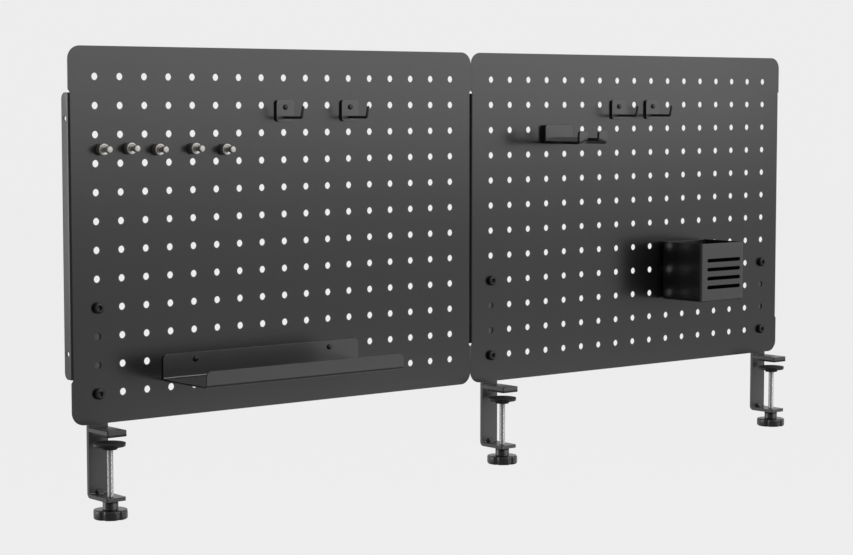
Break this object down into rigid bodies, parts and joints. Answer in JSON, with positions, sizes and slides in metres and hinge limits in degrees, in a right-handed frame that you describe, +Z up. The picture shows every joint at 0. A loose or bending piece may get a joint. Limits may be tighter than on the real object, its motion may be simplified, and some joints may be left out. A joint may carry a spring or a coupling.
{
  "type": "pegboard desk organizer",
  "caption": "Two black perforated steel panels joined edge to edge, held at a desk's rear edge by screw clamps, with hooks, a pen tray, a cup, a headphone hook and magnets.",
  "frame": {"origin": "on the middle clamp's screw axis, in the plane of its upper pad's underside, which rests on the desk's top", "axes": "+X along the panels to the user's right, +Y from the panels' front face to their back, away from the user, +Z up"},
  "size_m": [0.9204, 0.0836, 0.4147],
  "materials": {
    "panel_steel": "semi-gloss black powder coat",
    "bracket_steel": "semi-gloss black powder coat",
    "accessory_steel": "satin black powder coat",
    "foot_steel": "black oxide",
    "black_screws": "black oxide",
    "peg_steel": "black oxide",
    "plated_steel": "bright zinc plate",
    "knob_plastic": "fine-grained black nylon",
    "rubber": "matte",
    "nylon": "matte",
    "magnet_shell": "turned and nickel plated",
    "magnet_disc": "nickel plate"
  },
  "bodies": {
    "frame": {"left_panel": "panel_steel", "right_panel": "panel_steel", "bracket_bolts": "black_screws", "bracket_washers": "black_screws", "bracket_nuts": "black_screws", "panel_join_screws": "black_screws", "panel_join_nuts": "black_screws", "panel_join_spacers": "nylon", "clamp1_bracket": "bracket_steel", "clamp1_upper_pad": "rubber", "clamp2_bracket": "bracket_steel", "clamp2_upper_pad": "rubber", "clamp3_bracket": "bracket_steel", "clamp3_upper_pad": "rubber"},
    "clamp1_foot_body": {"clamp1_foot": "foot_steel", "clamp1_foot_pad": "rubber"},
    "clamp1_screw_body": {"clamp1_screw": "plated_steel", "clamp1_knob": "knob_plastic"},
    "clamp2_foot_body": {"clamp2_foot": "foot_steel", "clamp2_foot_pad": "rubber"},
    "clamp2_screw_body": {"clamp2_screw": "plated_steel", "clamp2_knob": "knob_plastic"},
    "clamp3_foot_body": {"clamp3_foot": "foot_steel", "clamp3_foot_pad": "rubber"},
    "clamp3_screw_body": {"clamp3_screw": "plated_steel", "clamp3_knob": "knob_plastic"},
    "hook1_body": {"hook1": "accessory_steel", "hook1_peg": "peg_steel"},
    "hook2_body": {"hook2": "accessory_steel", "hook2_peg": "peg_steel"},
    "hook3_body": {"hook3": "accessory_steel", "hook3_peg": "peg_steel"},
    "hook4_body": {"hook4": "accessory_steel", "hook4_peg": "peg_steel"},
    "headphone_hook_body": {"headphone_hook": "accessory_steel", "headphone_hook_pegs": "peg_steel"},
    "tray_body": {"tray": "accessory_steel", "tray_pegs": "peg_steel"},
    "cup_body": {"cup": "accessory_steel", "cup_pegs": "peg_steel", "cup_bumpers": "rubber"},
    "magnet1_body": {"magnet1": "magnet_shell", "magnet1_disc": "magnet_disc"},
    "magnet2_body": {"magnet2": "magnet_shell", "magnet2_disc": "magnet_disc"},
    "magnet3_body": {"magnet3": "magnet_shell", "magnet3_disc": "magnet_disc"},
    "magnet4_body": {"magnet4": "magnet_shell", "magnet4_disc": "magnet_disc"},
    "magnet5_body": {"magnet5": "magnet_shell", "magnet5_disc": "magnet_disc"}
  },
  "joints": [
    {"name": "clamp1_foot_slide", "type": "slide", "parent": "frame", "child": "clamp1_foot_body", "axis": [0, 0, 1], "range_m": [-0.04, 0]},
    {"name": "clamp1_screw_turn", "type": "hinge", "parent": "clamp1_foot_body", "child": "clamp1_screw_body", "pos_m": [-0.4606, 0, -0.0573], "axis": [0, 0, 1], "range_deg": [-14400, 0]},
    {"name": "clamp2_foot_slide", "type": "slide", "parent": "frame", "child": "clamp2_foot_body", "axis": [0, 0, 1], "range_m": [-0.04, 0]},
    {"name": "clamp2_screw_turn", "type": "hinge", "parent": "clamp2_foot_body", "child": "clamp2_screw_body", "pos_m": [0, 0, -0.0573], "axis": [0, 0, 1], "range_deg": [-14400, 0]},
    {"name": "clamp3_foot_slide", "type": "slide", "parent": "frame", "child": "clamp3_foot_body", "axis": [0, 0, 1], "range_m": [-0.04, 0]},
    {"name": "clamp3_screw_turn", "type": "hinge", "parent": "clamp3_foot_body", "child": "clamp3_screw_body", "pos_m": [0.4064, 0, -0.0573], "axis": [0, 0, 1], "range_deg": [-14400, 0]},
    {"name": "hook1_lift", "type": "slide", "parent": "frame", "child": "hook1_body", "axis": [0, 0, 1], "range_m": [0, 0.0018]},
    {"name": "hook2_lift", "type": "slide", "parent": "frame", "child": "hook2_body", "axis": [0, 0, 1], "range_m": [0, 0.0018]},
    {"name": "hook3_lift", "type": "slide", "parent": "frame", "child": "hook3_body", "axis": [0, 0, 1], "range_m": [0, 0.0018]},
    {"name": "hook4_lift", "type": "slide", "parent": "frame", "child": "hook4_body", "axis": [0, 0, 1], "range_m": [0, 0.0018]},
    {"name": "headphone_hook_lift", "type": "slide", "parent": "frame", "child": "headphone_hook_body", "axis": [0, 0, 1], "range_m": [0, 0.0018]},
    {"name": "tray_lift", "type": "slide", "parent": "frame", "child": "tray_body", "axis": [0, 0, 1], "range_m": [0, 0.0018]},
    {"name": "cup_lift", "type": "slide", "parent": "frame", "child": "cup_body", "axis": [0, 0, 1], "range_m": [0, 0.0018]},
    {"name": "magnet1_pull", "type": "slide", "parent": "frame", "child": "magnet1_body", "axis": [0, -1, 0], "range_m": [0, 0.03]},
    {"name": "magnet2_pull", "type": "slide", "parent": "frame", "child": "magnet2_body", "axis": [0, -1, 0], "range_m": [0, 0.03]},
    {"name": "magnet3_pull", "type": "slide", "parent": "frame", "child": "magnet3_body", "axis": [0, -1, 0], "range_m": [0, 0.03]},
    {"name": "magnet4_pull", "type": "slide", "parent": "frame", "child": "magnet4_body", "axis": [0, -1, 0], "range_m": [0, 0.03]},
    {"name": "magnet5_pull", "type": "slide", "parent": "frame", "child": "magnet5_body", "axis": [0, -1, 0], "range_m": [0, 0.03]}
  ],
  "couplings": [
    {"joint": "clamp1_screw_turn", "follows": "clamp1_foot_slide", "rad_per_m": 6283.2},
    {"joint": "clamp2_screw_turn", "follows": "clamp2_foot_slide", "rad_per_m": 6283.2},
    {"joint": "clamp3_screw_turn", "follows": "clamp3_foot_slide", "rad_per_m": 6283.2}
  ]
}
